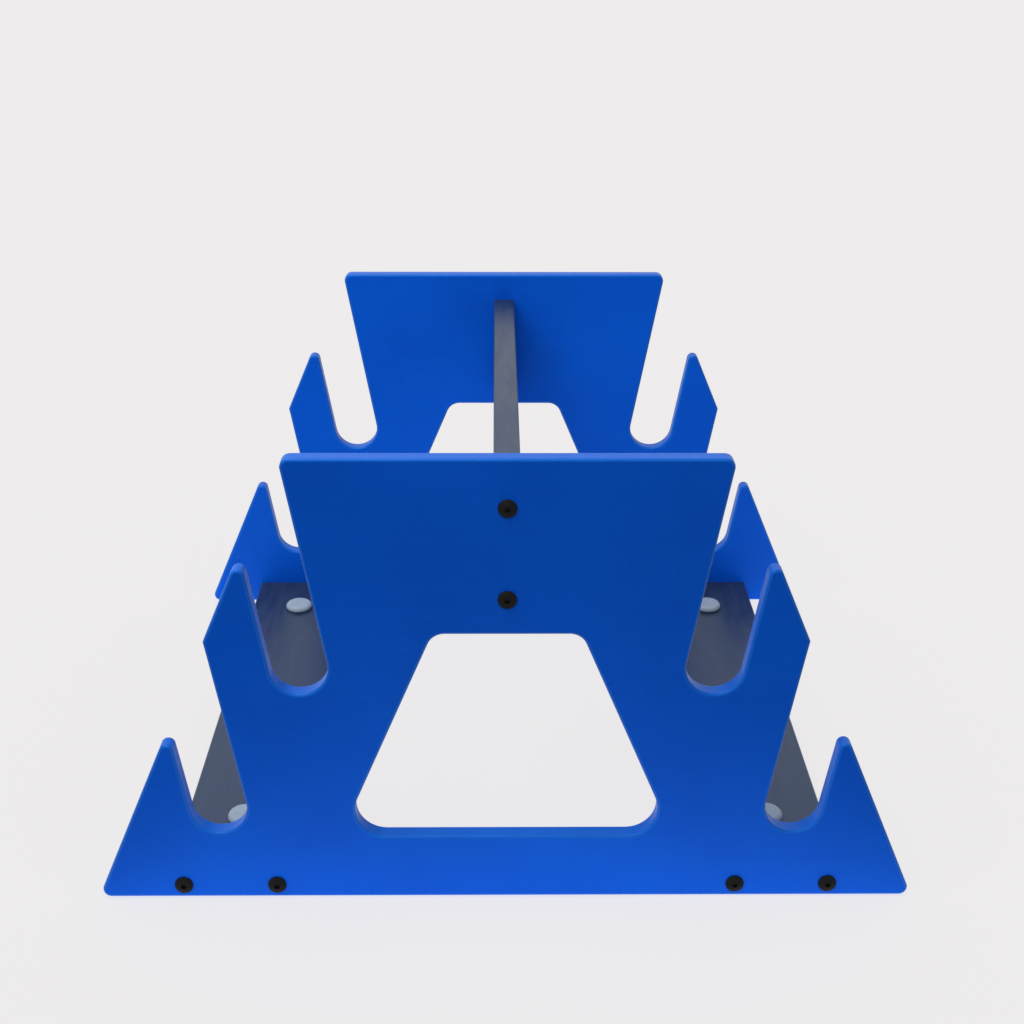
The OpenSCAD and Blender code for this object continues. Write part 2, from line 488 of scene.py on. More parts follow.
def rounded(before: Vector, corner: Corner, after: Vector) -> Bend:
    """Rounds a corner.

    Args:
        before: Point that the outline comes from.
        corner: The corner.
        after: Point that the outline goes on to.

    Returns:
        The arc that touches both sides.
    """
    incoming = (corner.point - before).normalized()
    outgoing = (after - corner.point).normalized()
    sweep = math.atan2(incoming.x * outgoing.y - incoming.y * outgoing.x, incoming @ outgoing)
    leave = corner.point - incoming * corner.radius * math.tan(abs(sweep) / 2)
    square = Vector((-incoming.y, incoming.x)) * math.copysign(corner.radius, sweep)
    return Bend(leave + square, corner.radius, math.atan2(-square.y, -square.x), sweep)


def closed_outline(half: list[Corner | Bend]) -> list[Bend]:
    """Closes a half outline with its mirror image and rounds its corners.

    Args:
        half: Corners and arcs from the bottom to the top, on one side.

    Returns:
        The arcs of the whole outline, in order.
    """
    whole = half + [entry.mirrored() for entry in reversed(half)]
    return [
        entry
        if isinstance(entry, Bend)
        else rounded(whole[i - 1].exit, entry, whole[(i + 1) % len(whole)].entry)
        for i, entry in enumerate(whole)
    ]


def put_in_scene(name: str, data: bpy.types.ID) -> Object:
    """Makes an object and puts it in the scene.

    Args:
        name: Name of the object.
        data: Its mesh, lamp or camera.

    Returns:
        The object.
    """
    item = bpy.data.objects.new(name, data)
    bpy.context.scene.collection.objects.link(item)
    return item


def meshed(name: str, bm: bmesh.types.BMesh) -> Object:
    """Turns a finished bmesh into an object in the scene.

    Args:
        name: Name of the object and its mesh.
        bm: The bmesh, which is freed.

    Returns:
        The object.
    """
    mesh = bpy.data.meshes.new(name)
    bm.to_mesh(mesh)
    bm.free()
    return put_in_scene(name, mesh)


def settle(piece: Object, slot: str, *nodes: str) -> None:
    """Ties a piece to the frame.

    Args:
        piece: The finished piece.
        slot: Material slot of the record. Not used.
        *nodes: CAD nodes that it stands for.
    """
    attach(piece, BODY)
    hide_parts(*nodes)
    log.info("%s: %d faces, stands for %s", piece.name, len(piece.data.polygons), ", ".join(nodes))


def new_tree(name: str, **inputs: list[str]) -> tuple[NodeTree, NodeOutputs]:
    """Makes a geometry tree with named inputs and one output.

    Args:
        name: Name of the tree.
        **inputs: Names of the inputs, by the kind of their sockets.

    Returns:
        The tree, and the sockets that its inputs come from.
    """
    tree = bpy.data.node_groups.new(name, "GeometryNodeTree")
    tree.interface.new_socket("Geometry", in_out="OUTPUT", socket_type="NodeSocketGeometry")
    for kind, words in inputs.items():
        for word in words:
            tree.interface.new_socket(word, in_out="INPUT", socket_type=f"NodeSocket{kind}")
    return tree, add(tree, "NodeGroupInput").outputs


def straight_bar(tree: NodeTree, section: Node, low: NodeSocket, high: NodeSocket) -> Node:
    """Sweeps a section along Z.

    Args:
        tree: Tree that the nodes go into.
        section: The node that gives the closed section.
        low: Height of the bar's lower end.
        high: Height of its upper end.

    Returns:
        The closed mesh.
    """
    start, end = (add(tree, "ShaderNodeCombineXYZ", {"Z": height}) for height in (low, high))
    path = add(tree, "GeometryNodeCurvePrimitiveLine", {"Start": start, "End": end})
    sweep = {"Curve": path, "Profile Curve": section, "Fill Caps": True}
    return add(tree, "GeometryNodeCurveToMesh", sweep)


def end_tree(tree: NodeTree, size: NodeOutputs, shape: Node, finish: Material) -> NodeTree:
    """Turns and places a tree's shape, makes it real and gives it its material.

    Args:
        tree: The tree.
        size: The sockets that its inputs come from, with "Turn" and "Place".
        shape: The node that gives the shape.
        finish: The material.

    Returns:
        The finished tree.
    """
    move = {"Geometry": shape, "Rotation": size["Turn"], "Translation": size["Place"]}
    placed = add(tree, "GeometryNodeTransform", move)
    real = add(tree, "GeometryNodeRealizeInstances", {0: placed})
    dressed = add(tree, "GeometryNodeSetMaterial", {"Geometry": real, "Material": finish})
    add(tree, "NodeGroupOutput", {0: dressed})
    return tree


def grown(
    node: str,
    slot: str,
    tree: NodeTree,
    lengths: dict[str, float],
    place: Vector,
    turn: tuple[float, float, float] = (0.0, 0.0, 0.0),
    **others: object,
) -> None:
    """Runs a geometry tree once, keeps its result as a plain mesh and ties it to the frame.

    Args:
        node: CAD node that the piece stands for.
        slot: Material slot of the record.
        tree: The tree.
        lengths: Value of each input that is a length, in millimetres.
        place: Where the piece goes, in millimetres.
        turn: How it is turned before that, in radians.
        **others: Value of each other input.
    """
    values = {name: value * MM for name, value in lengths.items()}
    values |= {"Place": tuple(place * MM), "Turn": turn, **others}
    host = put_in_scene(f"{node}_host", bpy.data.meshes.new(f"{node}_host"))
    modifier = host.modifiers.new("tree", "NODES")
    modifier.node_group = tree
    for item in tree.interface.items_tree:
        if item.in_out == "INPUT":
            modifier[item.identifier] = values[item.name]
    # large faces are shaded flat, and the roundings beside them run into them
    weighted = host.modifiers.new("flats", "WEIGHTED_NORMAL")
    weighted.keep_sharp = True
    weighted.weight = 100
    graph = bpy.context.evaluated_depsgraph_get()
    mesh = bpy.data.meshes.new_from_object(host.evaluated_get(graph), depsgraph=graph)
    mesh.name = f"{node}_piece"
    host.modifiers.clear()
    bpy.data.objects.remove(host)
    settle(put_in_scene(mesh.name, mesh), slot, node)


@dataclass
class Boards:
    """The three equal boards: their common sizes and places."""

    length: float = 457.2
    width: float = 88.9
    thickness: float = 19.05
    edge_radius: float = 1.5
    edge_steps: int = 5
    sawn_facing: float = 0.9
    base_x: float = 199.3
    base_z: float = 12.025
    top_z: float = 273.75
    bore_diameter: float = 5.0
    bore_sides: int = 32
    bore_depth: float = 53.8
    screw_offset: float = 33.65
    stem_hole_diameter: float = 11.5
    stem_hole_sides: int = 48
    foot_inset: float = 55.0

    def sizes(self) -> dict[str, float]:
        """Works out the sizes that the board's tree asks for.

        Returns:
            Value of each input in millimetres. The spread and the reach of its holes are the
            distances of their cutters across and along the board.
        """
        return {
            "Front end": -self.length / 2,
            "Back end": self.length / 2,
            "Width": self.width,
            "Thickness": self.thickness,
            "Edge radius": self.edge_radius,
            "Bore radius": self.bore_diameter / 2,
            "Bore depth": self.bore_depth + CUT_PAST,
            "Bore spread": 2 * self.screw_offset,
            "Bore reach": self.length - self.bore_depth + CUT_PAST,
            "Stem hole radius": self.stem_hole_diameter / 2,
            "Stem hole depth": 2 * self.thickness,
            "Stem hole spread": 0.0,
            "Stem hole reach": self.length - 2 * self.foot_inset,
        }

    def tree(self, finish: Material) -> NodeTree:
        """Builds the tree that sweeps a rounded section along a board and bores its holes.

        Args:
            finish: Material of the board.

        Returns:
            A tree with a named input for each size.
        """
        inputs = {"Float": list(self.sizes()), "Bool": ["Flat"], "Vector": ["Turn", "Place"]}
        tree, size = new_tree("extruded_board", **inputs)
        plan = {"Width": size["Width"], "Height": size["Thickness"]}
        section = add(tree, "GeometryNodeCurvePrimitiveQuadrilateral", plan)
        easing = {"Curve": section, "Radius": size["Edge radius"], "Count": self.edge_steps}
        eased = add(tree, "GeometryNodeFilletCurve", easing, mode="POLY")
        swept = straight_bar(tree, eased, size["Front end"], size["Back end"])

        # the sweep runs along Z, and a sawn end is a face that looks nearly along it
        looks = add(tree, "ShaderNodeSeparateXYZ", {0: add(tree, "GeometryNodeInputNormal")})
        upright = add(tree, MATH, {0: looks.outputs["Z"]}, operation="ABSOLUTE")
        is_end = add(tree, MATH, {0: upright, 1: self.sawn_facing}, operation="GREATER_THAN")
        kept = {"Geometry": swept, "Name": "sawn", "Value": is_end}
        kind = {"data_type": "FLOAT", "domain": "FACE"}
        marked = add(tree, "GeometryNodeStoreNamedAttribute", kept, **kind)

        # cutters at the places of a two by two grid in the plane of the board: through a flat
        # board's thickness for the feet's stems, where the grid has no width and its places fall
        # together in pairs, and along the board for the screws
        cutters = []
        for hole, sides, turn, wanted in (
            ("Stem hole", self.stem_hole_sides, 0.0, size["Flat"]),
            ("Bore", self.bore_sides, QUARTER, True),
        ):
            spans = {"Size X": size[f"{hole} spread"], "Size Y": size[f"{hole} reach"]}
            grid = add(tree, "GeometryNodeMeshGrid", {**spans, "Vertices X": 2, "Vertices Y": 2})
            single = {"Geometry": grid, "Distance": WELD}
            places = add(tree, "GeometryNodeMergeByDistance", single)
            bar = {"Radius": size[f"{hole} radius"], "Depth": size[f"{hole} depth"]}
            cutter = add(tree, "GeometryNodeMeshCylinder", {"Vertices": sides, **bar})
            copies = {"Points": places, "Instance": cutter, "Rotation": (turn, 0.0, 0.0)}
            copies["Selection"] = wanted
            cutters.append(add(tree, "GeometryNodeInstanceOnPoints", copies))
        every = add(tree, "GeometryNodeJoinGeometry", {0: cutters})
        lengthwise = {"Geometry": every, "Rotation": (QUARTER, 0.0, 0.0)}
        raised = add(tree, "GeometryNodeTransform", lengthwise)
        loose = add(tree, "GeometryNodeRealizeInstances", {0: raised})
        bored = add(tree, "GeometryNodeMeshBoolean", {"Mesh 1": marked, "Mesh 2": loose}, **CUT)
        # from along Z to along Y, and then onto its edge or not
        laid = {"Geometry": bored, "Rotation": (-QUARTER, 0.0, 0.0)}
        return end_tree(tree, size, add(tree, "GeometryNodeTransform", laid), finish)

    def make(self, finish: Material) -> None:
        """Builds and dresses the three boards.

        Args:
            finish: The boards' material.
        """
        tree = self.tree(finish)
        for node, lie, x, z in (
            ("top_board", Lie.ON_EDGE, 0.0, self.top_z),
            ("left_base_board", Lie.FLAT, Side.LEFT.value * self.base_x, self.base_z),
            ("right_base_board", Lie.FLAT, Side.RIGHT.value * self.base_x, self.base_z),
        ):
            flat, place = lie is Lie.FLAT, Vector((x, 0.0, z))
            turn = (0.0, 0.0 if flat else QUARTER, 0.0)
            grown(node, "board_plastic", tree, self.sizes(), place, turn, Flat=flat)


@dataclass
class SlottedPanel:
    """Side panel at one end of the rack: a sheet with four ski slots and a central opening."""

    end: End
    width: float = 590.0
    top_width: float = 304.8
    height: float = 341.2
    thickness: float = 12.7
    floor_gap: float = 1.5
    inner_y: float = 228.6
    bottom_corner_radius: float = 6.0
    top_corner_radius: float = 6.4
    fingertip_radius: float = 5.0
    step_corner_radius: float = 1.0
    edge_round: float = 2.0
    slot_width: float = 40.5
    slot_lean: float = math.radians(10.5)
    upper_slot_z: float = 165.5
    lower_slot_z: float = 54.0
    step_z: float = 206.0
    opening_top_width: float = 102.8
    opening_top_z: float = 211.9
    opening_bottom_z: float = 50.7
    opening_top_radius: float = 12.7
    opening_bottom_radius: float = 22.0
    screw_hole_diameter: float = 5.4
    screw_hole_sides: int = 32
    screw_places: list[Vector] = field(default_factory=list)
    round_steps: int = 7
    flat_margin: float = 0.5
    weld: float = 0.0001

    @property
    def slope(self) -> float:
        """Run of a slanted side for each millimetre of height."""
        return (self.width - self.top_width) / 2 / self.height

    def half_width(self, z: float) -> float:
        """Half of the panel's width at a height above its bottom edge."""
        return self.width / 2 - z * self.slope

    def slot(self, mouth: Vector, bottom_z: float) -> tuple[Bend, Corner]:
        """Draws a slot on the right-hand side.

        Args:
            mouth: Point where the slot's inner side starts.
            bottom_z: Height of the slot's lowest point above the panel's bottom edge.

        Returns:
            The round bottom, and the corner where its outer side meets the slanted side.
        """
        up = Vector((math.sin(self.slot_lean), math.cos(self.slot_lean)))
        out = Vector((up.y, -up.x))
        radius = self.slot_width / 2
        middle = mouth + out * radius
        centre = middle - up * ((middle.y - bottom_z - radius) / up.y)
        foot = centre + out * radius
        gap = self.half_width(foot.y) - foot.x
        tip = foot + up * (gap / (up.x + up.y * self.slope))
        bottom = Bend(centre, radius, -self.slot_lean, -math.pi)
        return bottom, Corner(tip, self.fingertip_radius)

    def outline(self) -> list[Bend]:
        """Draws the panel's outline.

        Returns:
            Its arcs, counter-clockwise, with y as the height above the bottom edge.
        """
        step = Vector((self.half_width(self.step_z), self.step_z))
        top = Vector((self.top_width / 2, self.height))
        lower_bottom, lower_tip = self.slot(step, self.lower_slot_z)
        upper_bottom, upper_tip = self.slot(top, self.upper_slot_z)
        return closed_outline(
            [
                Corner(Vector((self.width / 2, 0.0)), self.bottom_corner_radius),
                lower_tip,
                lower_bottom,
                Corner(step, self.step_corner_radius),
                upper_tip,
                upper_bottom,
                Corner(top, self.top_corner_radius),
            ]
        )

    def opening(self) -> list[Bend]:
        """Draws the central opening.

        Returns:
            Its arcs, clockwise, so that the sheet is on their left.
        """
        half = self.opening_top_width / 2
        rise = self.opening_top_z - self.opening_bottom_z
        top = Vector((half, self.opening_top_z))
        bottom = Vector((half + rise * self.slope, self.opening_bottom_z))
        corners = [Corner(top, self.opening_top_radius), Corner(bottom, self.opening_bottom_radius)]
        return closed_outline(corners)

    def profile(self) -> list[tuple[float, float]]:
        """Section of a routed edge, from the outer face to the inner one.

        Returns:
            Inset and depth of each point, with a margin beside each rounding that keeps the
            flat faces flat when they are shaded.
        """
        r, t = self.edge_round, self.thickness
        angles = [QUARTER * i / self.round_steps for i in range(self.round_steps + 1)]
        arc = [(r * (1 - math.sin(a)), r * (1 - math.cos(a))) for a in angles]
        half = [(r + self.flat_margin, 0.0), *arc, (0.0, r + self.flat_margin)]
        return half + [(inset, t - depth) for inset, depth in reversed(half)]

    def build(self) -> Object:
        """Builds the panel with its rounded edges and screw holes.

        Returns:
            The finished panel, named for its end.
        """
        bm = bmesh.new()
        edge_run = bm.loops.layers.uv.new("edge_run")
        outer_y = self.inner_y + self.thickness

        def ring(points: list[Vector], depth: float) -> list[bmesh.types.BMVert]:
            """Adds a closed line of vertices at a depth under the outer face."""
            y = self.end.value * (outer_y - depth) * MM
            return [bm.verts.new((p.x * MM, y, (p.y + self.floor_gap) * MM)) for p in points]

        edges = [(self.outline(), self.profile()), (self.opening(), self.profile())]
        turn, step = -2 * math.pi, 2 * math.pi / self.screw_hole_sides
        for place in self.screw_places:
            centre = place - Vector((0.0, self.floor_gap))
            hole = Bend(centre, self.screw_hole_diameter / 2, 0.0, turn, step)
            edges.append(([hole], [(0.0, 0.0), (0.0, self.thickness)]))
        outer_face, inner_face = [], []
        for bends, section in edges:
            rings = [
                ring([p for bend in bends for p in bend.points(inset)], depth)
                for inset, depth in section
            ]
            spots = [p for bend in bends for p in bend.points(0.0)]
            after = spots[1:] + spots[:1]
            runs = [0.0, *accumulate((q - p).length * MM for p, q in zip(spots, after))]
            steps = zip(section, section[1:])
            path = [0.0, *accumulate(math.dist(a, b) * MM for a, b in steps)]
            for k, (outer, inner) in enumerate(zip(rings, rings[1:])):
                for i in range(len(spots)):
                    j = (i + 1) % len(spots)
                    quad = bm.faces.new((outer[i], outer[j], inner[j], inner[i]))
                    # the first and last strips are the margins of the flat faces
                    quad.material_index = 1 if 0 < k < len(rings) - 2 else 0
                    corners = ((i, k), (i + 1, k), (i + 1, k + 1), (i, k + 1))
                    for loop, (along, across) in zip(quad.loops, corners):
                        loop[edge_run].uv = (runs[along], path[across])
            outer_face.append(rings[0])
            inner_face.append(rings[-1])
        for loops in (outer_face, inner_face):
            verts = [v for loop in loops for v in loop]
            for triangle in tessellate_polygon([[v.co for v in loop] for loop in loops]):
                bm.faces.new([verts[i] for i in triangle])
        bmesh.ops.remove_doubles(bm, verts=bm.verts, dist=self.weld * MM)
        bmesh.ops.recalc_face_normals(bm, faces=bm.faces)
        panel = meshed(f"{self.end.name.lower()}_panel_piece", bm)
        panel.data.shade_smooth()
        panel.data.set_sharp_from_angle(angle=SHARP_OVER)
        return panel

    def make(self, face: Material, edge: Material) -> None:
        """Builds and dresses the panel.

        Args:
            face: Material of its flat faces.
            edge: Material of its routed edges.
        """
        panel = self.build()
        panel.data.materials.append(face)
        panel.data.materials.append(edge)
        settle(panel, "panel_plastic", f"{self.end.name.lower()}_panel")


def turned(tree: NodeTree, corners: list[tuple], segments: int, fillet_steps: int = 8) -> Node:
    """Draws an open profile through given corners, rounds them and turns it round Z.

    Args:
        tree: Tree that the nodes go into.
        corners: Radius, height and rounding of each corner, as values or sockets.
        segments: Number of segments round Z.
        fillet_steps: Number of points that each rounding adds.

    Returns:
        The closed mesh.
    """
    line = add(tree, "GeometryNodeMeshLine", {"Count": len(corners)}, mode="OFFSET")
    curve = add(tree, "GeometryNodeMeshToCurve", {0: line})
    number = add(tree, "GeometryNodeInputIndex")
    corner = add(tree, "GeometryNodeIndexSwitch", {0: number}, data_type="VECTOR")
    for _ in corners[2:]:
        corner.index_switch_items.new()
    # each corner goes through the switch as one vector, with its rounding as Y
    for i, (radius, height, rounding) in enumerate(corners, start=1):
        packed = add(tree, "ShaderNodeCombineXYZ", {"X": radius, "Y": rounding, "Z": height})
        tree.links.new(packed.outputs[0], corner.inputs[i])
    rounding = add(tree, "ShaderNodeSeparateXYZ", {0: corner}).outputs["Y"]
    flat = {0: corner, 1: (1.0, 0.0, 1.0)}
    spot = add(tree, "ShaderNodeVectorMath", flat, operation="MULTIPLY")
    drawn = add(tree, "GeometryNodeSetPosition", {"Geometry": curve, "Position": spot})
    easing = {"Curve": drawn, "Radius": rounding, "Count": fillet_steps}
    eased = add(tree, "GeometryNodeFilletCurve", easing, mode="POLY")
    profile = add(tree, "GeometryNodeCurveToMesh", {"Curve": eased})

    # a grid one metre wide is wrapped round Z: its X gives the angle, and its Y the point of the
    # profile
    count = add(tree, "GeometryNodeAttributeDomainSize", {0: profile}, component="MESH")
    grid = add(tree, "GeometryNodeMeshGrid", {"Vertices X": segments + 1, "Vertices Y": count})
    place = add(tree, "GeometryNodeInputPosition")
    part = add(tree, "ShaderNodeSeparateXYZ", {0: place}).outputs
    angle = add(tree, MATH, {0: part["X"], 1: 2 * math.pi}, operation="MULTIPLY")
    along = add(tree, MATH, {0: part["Y"], 1: 0.5}, operation="ADD")
    last = add(tree, MATH, {0: count, 1: 1.0}, operation="SUBTRACT")
    step = add(tree, MATH, {0: along, 1: last}, operation="MULTIPLY")
    index = add(tree, MATH, {0: step}, operation="ROUND")
    sample = {"Geometry": profile, "Value": place, "Index": index}
    kind = {"data_type": "FLOAT_VECTOR", "domain": "POINT"}
    found = add(tree, "GeometryNodeSampleIndex", sample, **kind)
    turn = {"Vector": found, "Angle": angle}
    point = add(tree, "ShaderNodeVectorRotate", turn, rotation_type="Z_AXIS")
    wrapped = add(tree, "GeometryNodeSetPosition", {"Geometry": grid, "Position": point})
    return add(tree, "GeometryNodeMergeByDistance", {"Geometry": wrapped, "Distance": WELD})


def smooth_shaded(tree: NodeTree, mesh: Node) -> Node:
    """Shades a mesh smooth in a tree, apart from its sharp edges.

    Args:
        tree: Tree that the nodes go into.
        mesh: The node that gives the mesh.

    Returns:
        The node that gives the shaded mesh.
    """
    kind = "GeometryNodeSetShadeSmooth"
    faces = add(tree, kind, {0: mesh, "Shade Smooth": True}, domain="FACE")
    angle = add(tree, "GeometryNodeInputMeshEdgeAngle")
    blunt = add(tree, "FunctionNodeCompare", {0: angle, 1: SHARP_OVER}, operation="LESS_THAN")
    return add(tree, kind, {0: faces, "Shade Smooth": blunt}, domain="EDGE")


@dataclass
class Screws:
    """Washer-head wood screws that hold a panel to the ends of the boards."""

    boards: Boards
    outer_y: float = 241.3
    head_diameter: float = 13.2
    head_segments: int = 48
    rim_height: float = 0.9
    dome_height: float = 1.98
    dome_share: float = 0.97
    edge_rounding: float = 0.25
    socket_width: float = 4.4
    socket_depth: float = 1.8
    socket_lobes: int = 6
    socket_points: int = 72
    lobe_depth: float = 0.13
    thread_diameter: float = 4.8
    thread_points: int = 20
    thread_fade: float = 20.0
    thread_end: float = 0.02
    core_diameter: float = 3.5
    tip_diameter: float = 0.7
    length: float = 63.5
    point_length: float = 5.0
    plain_length: float = 13.0
    pitch: float = 2.4
    turn_step: float = math.radians(23.0)
    back_turn: float = math.radians(11.0)

    def places(self) -> dict[str, Vector]:
        """Places of one panel's screws.

        Returns:
            X and height above the floor of each screw, by its name.
        """
        offset, base = self.boards.screw_offset, self.boards.base_z
        near, far = self.boards.base_x - offset, self.boards.base_x + offset
        return {
            "top_upper": Vector((0.0, self.boards.top_z + offset)),
            "top_lower": Vector((0.0, self.boards.top_z - offset)),
            "left_outer": Vector((-far, base)),
            "left_inner": Vector((-near, base)),
            "right_inner": Vector((near, base)),
            "right_outer": Vector((far, base)),
        }

    def sizes(self) -> dict[str, float]:
        """Works out the sizes that the screw's tree asks for.

        Returns:
            Value of each input in millimetres, with heights measured from the head's underside.
        """
        # the dome is an arc that lies flat at the middle and ends on the rim: its two tangents
        # meet at the shoulder, and its radius is kept a little short of the axis
        head, dome = self.head_diameter / 2, self.dome_height
        squares = head**2 + dome**2
        top = self.rim_height + dome
        core = self.core_diameter / 2
        return {
            "Head radius": head,
            "Rim height": self.rim_height,
            "Top height": top,
            "Shoulder radius": squares / (2 * head),
            "Dome rounding": self.dome_share * squares / (2 * dome),
            "Edge rounding": self.edge_rounding,
            "Core radius": core,
            "Tip radius": self.tip_diameter / 2,
            "Tip height": -self.length,
            "Taper height": self.point_length - self.length,
            "Socket radius": self.socket_width / 2,
            "Socket floor": top - self.socket_depth,
            "Socket mouth": top + CUT_PAST,
            "Ridge radius": self.thread_diameter / 2 - core,
            "Thread run": self.length - self.plain_length - self.point_length,
            "Pitch": self.pitch,
        }

    def socket_key(self, tree: NodeTree, size: NodeOutputs) -> Node:
        """Draws the key that cuts the socket: a circle whose radius swings once for each lobe.

        Args:
            tree: Tree that the nodes go into.
            size: The sockets of the tree's inputs.

        Returns:
            The closed mesh.
        """
        around = add(tree, "GeometryNodeSplineParameter")
        turns = {0: around, 1: 2 * math.pi * self.socket_lobes}
        angle = add(tree, MATH, turns, operation="MULTIPLY")
        wave = add(tree, MATH, {0: angle}, operation="COSINE")
        swing = {0: wave, 1: self.lobe_depth, 2: 1 - self.lobe_depth}
        share = add(tree, MATH, swing, operation="MULTIPLY_ADD")
        reach = add(tree, MATH, {0: share, 1: size["Socket radius"]}, operation="MULTIPLY")
        spot = add(tree, "GeometryNodeInputPosition")
        lobe = add(tree, "ShaderNodeVectorMath", {0: spot, "Scale": reach}, operation="SCALE")
        circle_of_one = {"Resolution": self.socket_points, "Radius": 1.0}
        ring = add(tree, "GeometryNodeCurvePrimitiveCircle", circle_of_one)
        star = add(tree, "GeometryNodeSetPosition", {"Geometry": ring, "Position": lobe})
        return straight_bar(tree, star, size["Socket floor"], size["Socket mouth"])

    def thread(self, tree: NodeTree, size: NodeOutputs) -> Node:
        """Draws the thread: a diamond ridge swept up a spiral, fading in and out at its ends.

        Args:
            tree: Tree that the nodes go into.
            size: The sockets of the tree's inputs.

        Returns:
            The ridge, at its height on the core.
        """
        run, core = size["Thread run"], size["Core radius"]
        turns = add(tree, MATH, {0: run, 1: size["Pitch"]}, operation="DIVIDE")
        coil = {"Rotations": turns, "Start Radius": core, "End Radius": core, "Height": run}
        spiral = add(tree, "GeometryNodeCurveSpiral", {"Resolution": self.thread_points, **coil})
        upright = add(tree, "GeometryNodeSetCurveNormal", {0: spiral}, mode="Z_UP")
        along = add(tree, "GeometryNodeSplineParameter")
        from_end = add(tree, MATH, {0: along, 1: 0.5}, operation="PINGPONG")
        fade = {0: from_end, 1: self.thread_fade, 2: self.thread_end}
        thick = add(tree, MATH, fade, operation="MULTIPLY_ADD", use_clamp=True)
        four_points = {"Resolution": 4, "Radius": size["Ridge radius"]}
        diamond = add(tree, "GeometryNodeCurvePrimitiveCircle", four_points)
        sweep = {"Curve": upright, "Profile Curve": diamond, "Scale": thick, "Fill Caps": True}
        ridge = add(tree, "GeometryNodeCurveToMesh", sweep)
        drop = add(tree, "ShaderNodeCombineXYZ", {"Z": size["Taper height"]})
        return add(tree, "GeometryNodeTransform", {"Geometry": ridge, "Translation": drop})

    def tree(self, finish: Material) -> NodeTree:
        """Builds the tree of a screw, which stands along Z with its head's underside at zero.

        Args:
            finish: Material of the screw.

        Returns:
            A tree with a named input for each size.
        """
        names = list(self.sizes())
        tree, size = new_tree("washer_head_screw", Float=names, Vector=["Turn", "Place"])
        head, core, edge = size["Head radius"], size["Core radius"], size["Edge rounding"]
        corners = [
            (0.0, size["Top height"], 0.0),
            (size["Shoulder radius"], size["Top height"], size["Dome rounding"]),
            (head, size["Rim height"], edge),
            (head, 0.0, edge),
            (core, 0.0, edge),
            (core, size["Taper height"], 0.0),
            (size["Tip radius"], size["Tip height"], 0.0),
            (0.0, size["Tip height"], 0.0),
        ]
        body = turned(tree, corners, self.head_segments)
        meshes = {"Mesh 1": body, "Mesh 2": self.socket_key(tree, size)}
        socketed = add(tree, "GeometryNodeMeshBoolean", meshes, **CUT)
        parts = [self.thread(tree, size), smooth_shaded(tree, socketed)]
        return end_tree(tree, size, add(tree, "GeometryNodeJoinGeometry", {0: parts}), finish)

    def make(self, finish: Material) -> None:
        """Builds and dresses the twelve screws.

        Args:
            finish: The screws' material.
        """
        tree = self.tree(finish)
        for end in End:
            for number, (word, spot) in enumerate(self.places().items()):
                node = f"{end.name.lower()}_{word}_screw"
                place = Vector((spot.x, end.value * self.outer_y, spot.y))
                # each was driven until tight, so no two sockets stand at the same angle
                spin = self.turn_step * number + (self.back_turn if end is End.BACK else 0.0)
                turn = (-end.value * QUARTER, end.value * spin, 0.0)
                grown(node, "screw_steel", tree, self.sizes(), place, turn)


@dataclass
class Feet:
    """Push-through feet under the base boards."""

    boards: Boards
    head_diameter: float = 24.8
    head_height: float = 5.8
    head_rounding: float = 3.6
    lip_rounding: float = 2.0
    stem_diameter: float = 11.0
    pad_diameter: float = 31.8
    pad_height: float = 2.5
    pad_rounding: float = 0.8
    pad_top_rounding: float = 0.32
    segments: int = 64

    def sizes(self) -> dict[str, float]:
        """Works out the sizes that the foot's tree asks for.

        Returns:
            Value of each input in millimetres, with heights measured from the floor.
        """
        seat = self.pad_height + self.boards.thickness
        return {
            "Pad radius": self.pad_diameter / 2,
            "Pad height": self.pad_height,
            "Pad rounding": self.pad_rounding,
            "Pad top rounding": self.pad_top_rounding,
            "Stem radius": self.stem_diameter / 2,
            "Seat height": seat,
            "Lip rounding": self.lip_rounding,
            "Head radius": self.head_diameter / 2,
            "Top height": seat + self.head_height,
            "Head rounding": self.head_rounding,
        }

    def tree(self, finish: Material) -> NodeTree:
        """Builds the tree of a foot, which stands on its pad at zero.

        Args:
            finish: Material of the foot.

        Returns:
            A tree with a named input for each size.
        """
        names = list(self.sizes())
        tree, size = new_tree("push_through_foot", Float=names, Vector=["Turn", "Place"])
        pad, stem, head = size["Pad radius"], size["Stem radius"], size["Head radius"]
        corners = [
            (0.0, 0.0, 0.0),
            (pad, 0.0, size["Pad rounding"]),
            (pad, size["Pad height"], size["Pad top rounding"]),
            (stem, size["Pad height"], 0.0),
            (stem, size["Seat height"], 0.0),
            (head, size["Seat height"], size["Lip rounding"]),
            (head, size["Top height"], size["Head rounding"]),
            (0.0, size["Top height"], 0.0),
        ]
        body = turned(tree, corners, self.segments)
        return end_tree(tree, size, smooth_shaded(tree, body), finish)

    def make(self, finish: Material) -> None:
        """Builds and dresses the four feet.

        Args:
            finish: The feet's material.
        """
        tree = self.tree(finish)
        reach = self.boards.length / 2 - self.boards.foot_inset
        for end in End:
            for side in Side:
                node = f"{end.name.lower()}_{side.name.lower()}_foot"
                place = Vector((side.value * self.boards.base_x, end.value * reach, 0.0))
                grown(node, "foot_rubber", tree, self.sizes(), place)


